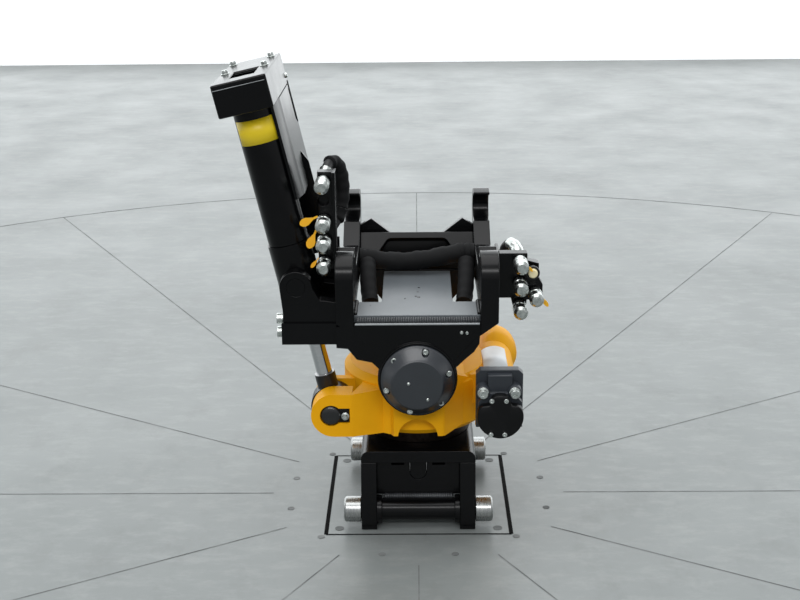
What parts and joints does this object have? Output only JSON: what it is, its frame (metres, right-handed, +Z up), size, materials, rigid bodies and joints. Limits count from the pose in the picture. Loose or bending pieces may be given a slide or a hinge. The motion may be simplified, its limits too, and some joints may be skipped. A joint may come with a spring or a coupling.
{
  "type": "excavator tilt rotator",
  "caption": "Tilt rotator with a hook hitch on top, one tilt cylinder, a worm-driven turning housing and a pin coupler with a lock wedge below.",
  "frame": {"origin": "on the rotation axis, in the plane of the lower coupler's feet", "axes": "+Z up along the rotation axis, +Y to the rear along the tilt axle, +X to the worm drive's side"},
  "size_m": [0.6096, 0.481, 0.8939],
  "materials": {
    "black_paint": "semi-gloss black paint on steel plate",
    "deck_paint": "semi-gloss black paint that catches the sky light",
    "yellow_paint": "orange-yellow paint on a casting",
    "bright_steel": "turned bare steel",
    "dark_steel": "dark oiled steel",
    "cap_grey": "blue-grey satin paint",
    "motor_black": "black motor paint",
    "chrome": "hard chrome",
    "zinc": "zinc-nickel plate",
    "bronze": "bearing bronze",
    "hose_rubber": "hose cover",
    "orange_strap": "soft orange plastic",
    "cream_plastic": "cream plastic plug"
  },
  "bodies": {
    "lower_coupler": {"coupler_left_plate": "black_paint", "coupler_right_plate": "black_paint", "coupler_top_plate": "black_paint", "coupler_front_panel": "black_paint", "coupler_rear_panel": "black_paint", "coupler_cross_tubes": "black_paint", "front_pin_left": "bright_steel", "front_pin_right": "bright_steel", "rear_pin_left": "bright_steel", "rear_pin_right": "bright_steel", "rotor_flange": "dark_steel", "lock_cylinder": "dark_steel", "worm_wheel": "bronze"},
    "lock_wedge": {"lock_wedge": "black_paint"},
    "housing": {"rotor_housing": "yellow_paint", "worm_end_cover": "yellow_paint", "rotor_bearing": "dark_steel", "axle_bushes": "bronze", "worm_bearings": "bright_steel", "rod_pins": "bright_steel", "motor_flange": "cap_grey", "motor_body": "motor_black", "motor_cover": "motor_black", "pin_keeper": "motor_black"},
    "worm": {"worm": "bright_steel"},
    "upper_hitch": {"hitch_left_plate": "black_paint", "hitch_right_plate": "black_paint", "hitch_front_plate": "black_paint", "hitch_rear_plate": "black_paint", "hitch_arch": "black_paint", "hitch_gussets": "black_paint", "trunnion_arm_front": "black_paint", "trunnion_arm_rear": "black_paint", "left_coupling_bracket": "black_paint", "right_coupling_bracket": "black_paint", "hitch_deck": "deck_paint", "tilt_axle": "bright_steel", "axle_cap_front": "cap_grey", "axle_cap_rear": "cap_grey", "bracket_bolts": "zinc", "left_couplings": "zinc", "right_couplings": "zinc", "left_hose": "hose_rubber", "right_hose": "hose_rubber", "cross_hoses": "hose_rubber", "dust_plug": "cream_plastic", "coupling_straps": "orange_strap"},
    "cylinder_barrel": {"cylinder_barrel": "black_paint", "trunnion_ring": "black_paint", "cylinder_gland": "black_paint", "barrel_end_cap": "black_paint", "hose_hood": "black_paint", "hood_guard": "black_paint"},
    "cylinder_rod": {"piston_rod": "chrome", "piston": "dark_steel", "rod_eye_bush": "bronze"}
  },
  "joints": [
    {"name": "rotate", "type": "hinge", "parent": "lower_coupler", "child": "housing", "pos_m": [0, 0, 0.274], "axis": [0, 0, 1], "continuous": true},
    {"name": "worm_spin", "type": "hinge", "parent": "housing", "child": "worm", "pos_m": [0.154, 0, 0.274], "axis": [0, 1, 0], "continuous": true},
    {"name": "tilt", "type": "hinge", "parent": "housing", "child": "upper_hitch", "pos_m": [0, 0, 0.33], "axis": [0, 1, 0], "range_deg": [-40, 40]},
    {"name": "barrel_swing", "type": "hinge", "parent": "upper_hitch", "child": "cylinder_barrel", "pos_m": [-0.223, -0.1, 0.4995], "axis": [0, 1, 0], "range_deg": [-7.4, 7.4]},
    {"name": "rod_slide", "type": "slide", "parent": "cylinder_barrel", "child": "cylinder_rod", "axis": [0.2201, 0, -0.9755], "range_m": [-0.1205, 0.1205]},
    {"name": "wedge_slide", "type": "slide", "parent": "lower_coupler", "child": "lock_wedge", "axis": [0, -1, 0], "range_m": [0, 0.04]}
  ],
  "couplings": [
    {"joint": "worm_spin", "follows": "rotate", "ratio": 52},
    {"joint": "barrel_swing", "follows": "tilt", "ratio": -0.18},
    {"joint": "rod_slide", "follows": "tilt", "m_per_rad": 0.1708}
  ]
}
